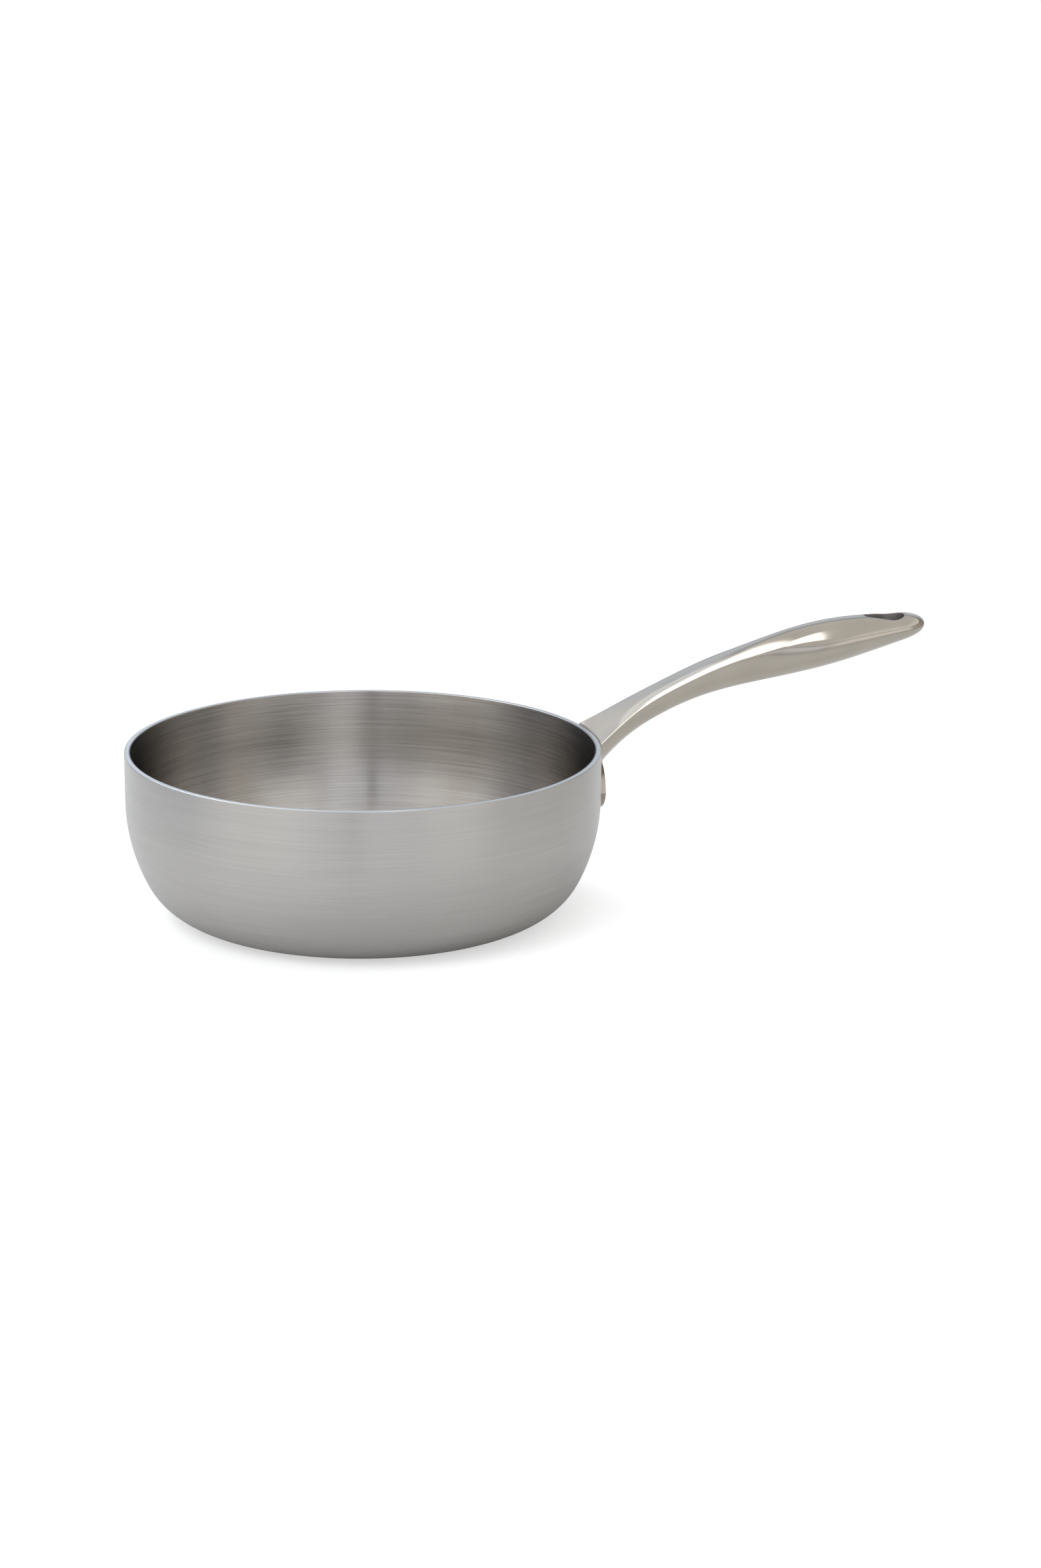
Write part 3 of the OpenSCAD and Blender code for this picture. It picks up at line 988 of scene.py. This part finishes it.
class SAUCIER_OT_stage(Operator):
    """Makes the floor, the lights and the camera"""

    bl_idname = "saucier.stage"
    bl_label = "Studio"

    def execute(self, context):
        studio = context.scene.pan_studio
        add_camera(studio)
        add_world()
        add_floor(studio)
        add_lights(studio)
        return {"FINISHED"}


def add_camera(studio):
    """Stands the camera where the photograph was taken from."""
    focal = IMAGE_H * studio.lens / SENSOR
    ahead = Vector((0, math.cos(studio.tilt), -math.sin(studio.tilt)))
    level = Vector((1, 0, 0))
    over = level.cross(ahead)
    right = math.cos(studio.roll) * level + math.sin(studio.roll) * over
    up = math.cos(studio.roll) * over - math.sin(studio.roll) * level
    to_mouth = (
        ahead
        + right * (MOUTH_PIXEL[0] - IMAGE_W / 2) / focal
        - up * (MOUTH_PIXEL[1] - IMAGE_H / 2) / focal
    ).normalized()
    axes = Matrix((right, up, -ahead)).transposed().to_4x4()
    axes.translation = -to_mouth * studio.distance
    turn = Matrix.Rotation(-studio.handle_turn, 4, "Z")
    data = bpy.data.cameras.new("camera")
    data.lens = studio.lens
    data.sensor_fit = "VERTICAL"
    data.sensor_height = SENSOR
    camera = bpy.data.objects.new("camera", data)
    camera.matrix_world = Matrix.Translation((0, 0, PAN_H)) @ turn @ axes
    bpy.context.scene.collection.objects.link(camera)
    bpy.context.scene.camera = camera


def white_to_the_eye(tree):
    """1 for the rays that show the background: to the camera, in gloss and through a clear part."""
    path = add_node(tree, "ShaderNodeLightPath").outputs
    seen = add_node(
        tree, "ShaderNodeMath", {0: path["Is Camera Ray"], 1: path["Is Glossy Ray"]}, operation="MAXIMUM"
    )
    return add_node(
        tree, "ShaderNodeMath", {0: seen, 1: path["Is Transmission Ray"]}, operation="MAXIMUM"
    )


def add_world():
    """White all round to the eye, and a soft even light on the floor."""
    world = bpy.data.worlds.new("studio")
    tree = new_tree(world)
    level = add_node(
        tree, "ShaderNodeMapRange", {"Value": white_to_the_eye(tree), "To Min": SKY_LEVEL, "To Max": 1}
    )
    shown = add_node(tree, "ShaderNodeBackground", {"Color": (1, 1, 1, 1), "Strength": level})
    add_node(tree, "ShaderNodeOutputWorld", {"Surface": shown})
    bpy.context.scene.world = world


def add_floor(studio):
    """A round white floor that keeps the pan's shadow."""
    bm = bmesh.new()
    bmesh.ops.create_circle(bm, cap_ends=True, radius=studio.floor_r, segments=STAGE_STEPS)
    floor = new_object(bm, "floor")
    material = bpy.data.materials.new("matt_floor")
    tree = new_tree(material)
    eye = add_node(tree, "ShaderNodeLightPath").outputs["Is Camera Ray"]
    paint = {
        "Base Color": list(studio.floor) + [1],
        "Roughness": 0.9,
        "Specular IOR Level": 0,
        "Emission Color": (1, 1, 1, 1),
        "Emission Strength": add_node(
            tree, "ShaderNodeMath", {0: eye, 1: FLOOR_GLOW}, operation="MULTIPLY"
        ),
    }
    shader = add_node(tree, "ShaderNodeBsdfPrincipled", paint)
    add_node(tree, "ShaderNodeOutputMaterial", {"Surface": shader})
    floor.data.materials.append(material)


def aim(place, target):
    """A turn that makes a lamp at place face the target."""
    return (Vector(target) - Vector(place)).to_track_quat("-Z", "Y").to_matrix().to_4x4()


def add_softbox(name, place, target, width, height, power, spin=0):
    """A soft rectangular lamp that faces the target."""
    data = bpy.data.lights.new(name, "AREA")
    data.shape = "RECTANGLE"
    data.size = width
    data.size_y = height
    data.energy = power
    data.color = COOL_WHITE
    lamp = bpy.data.objects.new(name, data)
    lamp.matrix_world = Matrix.Translation(place) @ aim(place, target) @ Matrix.Rotation(spin, 4, "Z")
    bpy.context.scene.collection.objects.link(lamp)
    return lamp


def set_tones(stops, tones):
    """Gives a colour ramp the listed tones as its stops."""
    for spot, colour in tones[:-1]:
        stop = stops.new(spot)
        stop.color = linear(colour) + [1]
    stops.remove(stops[0])
    stops[-1].color = linear(tones[-1][1]) + [1]


def add_surround(studio):
    """The studio's walls and ceiling, which only the metal mirrors."""
    bm = bmesh.new()
    bmesh.ops.create_circle(bm, radius=WALL_R, segments=STAGE_STEPS)
    verts, loop = next_loop(bm, bm.edges[:])
    bmesh.ops.translate(bm, verts=verts, vec=(0, 0, WALL_H))
    bmesh.ops.edgeloop_fill(bm, edges=loop)
    walls = new_object(bm, "studio_walls")
    material = bpy.data.materials.new("studio_walls")
    tree = new_tree(material)
    spot = add_node(tree, "ShaderNodeTexCoord").outputs["Object"]
    turned = add_node(
        tree, "ShaderNodeVectorRotate",
        {"Vector": spot, "Angle": math.pi / 2 + studio.handle_turn}, rotation_type="Z_AXIS",
    )
    parts = add_node(tree, "ShaderNodeSeparateXYZ", {"Vector": turned}).outputs
    turn = add_node(tree, "ShaderNodeMath", {0: parts["Y"], 1: parts["X"]}, operation="ARCTAN2")
    ways = (
        (turn, -math.pi, math.pi, WALL_TONES),
        (parts["Y"], -WALL_R, WALL_R, CEILING_TONES),
        (parts["Z"], 0, WALL_H, LIT_TONES),
    )
    ramps = []
    for value, low, high, tones in ways:
        share = add_node(
            tree, "ShaderNodeMapRange", {"Value": value, "From Min": low, "From Max": high}
        )
        ramps.append(add_node(tree, "ShaderNodeValToRGB", {"Fac": share}))
        set_tones(ramps[-1].color_ramp.elements, tones)
    wall, ceiling, lit = ramps
    # The wall's tones give way to the ceiling's just below it
    over = add_node(
        tree, "ShaderNodeMapRange",
        {"Value": parts["Z"], "From Min": WALL_H - 0.1, "From Max": WALL_H - 0.01},
    )
    tone = add_node(
        tree, "ShaderNodeMix", {"Factor": over, "A": wall, "B": ceiling}, data_type="RGBA"
    )
    level = add_node(tree, "ShaderNodeMath", {0: lit, 1: WALL_LEVEL}, operation="MULTIPLY")
    glow = add_node(
        tree, "ShaderNodeEmission", {"Color": tone.outputs["Result"], "Strength": level}
    )
    add_node(tree, "ShaderNodeOutputMaterial", {"Surface": glow})
    walls.data.materials.append(material)
    walls.visible_camera = False
    walls.visible_diffuse = False
    walls.visible_shadow = False
    walls.visible_transmission = False


def add_overhead(name, x, y, width, height, power, spin=0):
    """A lamp that hangs over x and y and faces straight down."""
    add_softbox(name, (x, y, LAMP_H), (x, y, 0), width, height, power, spin)


def add_lights(studio):
    """Three lamps overhead, whose mirror image is the handle's bright strip, and one on the left."""
    add_overhead(
        "key_light", x=-0.56, y=1.17, width=1.34, height=1.7, power=studio.key, spin=math.radians(2.3)
    )
    add_overhead("top_light", x=0.17, y=-0.22, width=0.26, height=1.1, power=studio.key / 10)
    add_overhead("back_light", x=-0.5, y=2.4, width=1.3, height=0.74, power=studio.key / 11)
    left = add_softbox(
        "left_light", place=(-1.3, -1, 1.6), target=(0.05, 0, 0.05), width=1.1, height=1.3,
        power=studio.fill,
    )
    # It lights the floor. In the gloss it would be a bright patch on the cooking surface.
    left.visible_glossy = False
    add_surround(studio)


class SAUCIER_OT_bonded_layers(Operator):
    """Makes the pan's three bonded layers"""

    bl_idname = "saucier.bonded_layers"
    bl_label = "Bonded layers"

    def execute(self, context):
        p = context.scene.pan_sizes
        finish = context.scene.pan_finish
        outer = new_object(pan_layer(0, p.outer_t, [RIM_R]), "outer_layer")
        core = new_object(pan_layer(p.outer_t, p.core_t, []), "heat_core")
        depth = p.outer_t + p.core_t
        inner = new_object(pan_layer(depth, p.inner_t, [RIM_R - depth - p.inner_t]), "cooking_layer")
        for piece in (outer, core, inner):
            shade(piece)
        outside_steel = brushed_pan_steel(
            "outer_steel", finish.outside, roughness=0.34, anisotropic=0.9, edge=1, lines=0.05
        )
        inside_steel = brushed_pan_steel(
            "cooking_steel", finish.cooking, roughness=0.23, anisotropic=0.95, edge=0.5, lines=0.12
        )
        add_piece(outer, "outer_ply", outside_steel)
        add_piece(core, "core_ply", core_aluminium(finish.core))
        add_piece(inner, "inner_ply", inside_steel)
        return {"FINISHED"}


class SAUCIER_OT_handle_shells(Operator):
    """Makes the two pressed halves of the hollow handle"""

    bl_idname = "saucier.handle_shells"
    bl_label = "Handle shells"

    def execute(self, context):
        finish = context.scene.pan_finish
        steel = satin_handle_steel("handle_steel", finish.handle, roughness=0.1)
        top = new_object(handle_shell(True), "handle_upper_half")
        cut_away(top, [new_object(hole_cutter(), "hole_cutter")])
        bottom = new_object(handle_shell(False), "handle_lower_half")
        cutters = [
            new_object(hole_cutter(), "hole_cutter"),
            new_object(curved_plate(SLOT_GAP), "slot_cutter"),
        ]
        cut_away(bottom, cutters)
        for piece, node in ((top, "handle_top_shell"), (bottom, "handle_bottom_shell")):
            shade(piece)
            use_skin_normals(piece)
            add_handle_uv(piece)
            add_piece(piece, node, steel)
        return {"FINISHED"}


class SAUCIER_OT_hanging_hole(Operator):
    """Makes the sleeve that lines the hanging hole"""

    bl_idname = "saucier.hanging_hole"
    bl_label = "Hanging hole"

    def execute(self, context):
        finish = context.scene.pan_finish
        sleeve = new_object(hole_sleeve(), "hole_sleeve")
        shade(sleeve)
        add_handle_uv(sleeve)
        steel = satin_handle_steel("sleeve_steel", finish.sleeve, roughness=0.35)
        add_piece(sleeve, "hanging_hole_sleeve", steel)
        return {"FINISHED"}


class SAUCIER_OT_wall_bracket(Operator):
    """Makes the bracket that is welded to the wall"""

    bl_idname = "saucier.wall_bracket"
    bl_label = "Wall bracket"

    def execute(self, context):
        finish = context.scene.pan_finish
        bracket = new_object(wall_bracket(), "wall_bracket")
        shade(bracket)
        add_handle_uv(bracket)
        steel = satin_handle_steel("bracket_steel", finish.handle, roughness=0.24)
        add_piece(bracket, "handle_bracket", steel)
        return {"FINISHED"}


class SAUCIER_PT_panel(Panel):
    """Lists the steps that make the pan"""

    bl_label = "Saucier pan"
    bl_idname = "SAUCIER_PT_panel"
    bl_space_type = "VIEW_3D"
    bl_region_type = "UI"
    bl_category = "Saucier"

    def draw(self, context):
        for step in STEPS:
            self.layout.operator(step.bl_idname, text=step.bl_label)
        for group in (context.scene.pan_sizes, context.scene.pan_finish, context.scene.pan_studio):
            box = self.layout.box()
            for name in group.__annotations__:
                box.prop(group, name)


STEPS = (
    SAUCIER_OT_stage,
    SAUCIER_OT_bonded_layers,
    SAUCIER_OT_handle_shells,
    SAUCIER_OT_hanging_hole,
    SAUCIER_OT_wall_bracket,
)
CLASSES = (PanSizes, PanFinish, StudioSet) + STEPS + (SAUCIER_PT_panel,)


def register():
    """Adds the pan's classes and settings to Blender."""
    for kind in CLASSES:
        bpy.utils.register_class(kind)
    bpy.types.Scene.pan_sizes = PointerProperty(type=PanSizes)
    bpy.types.Scene.pan_finish = PointerProperty(type=PanFinish)
    bpy.types.Scene.pan_studio = PointerProperty(type=StudioSet)


def unregister():
    """Takes the pan's classes and settings out of Blender."""
    del bpy.types.Scene.pan_studio
    del bpy.types.Scene.pan_finish
    del bpy.types.Scene.pan_sizes
    for kind in reversed(CLASSES):
        bpy.utils.unregister_class(kind)


def main():
    """Makes the stage and every piece."""
    register()
    bpy.context.scene.view_settings.view_transform = "Standard"
    bpy.ops.saucier.stage()
    bpy.ops.saucier.bonded_layers()
    bpy.ops.saucier.handle_shells()
    bpy.ops.saucier.hanging_hole()
    bpy.ops.saucier.wall_bracket()


if __name__ == "__main__":
    main()
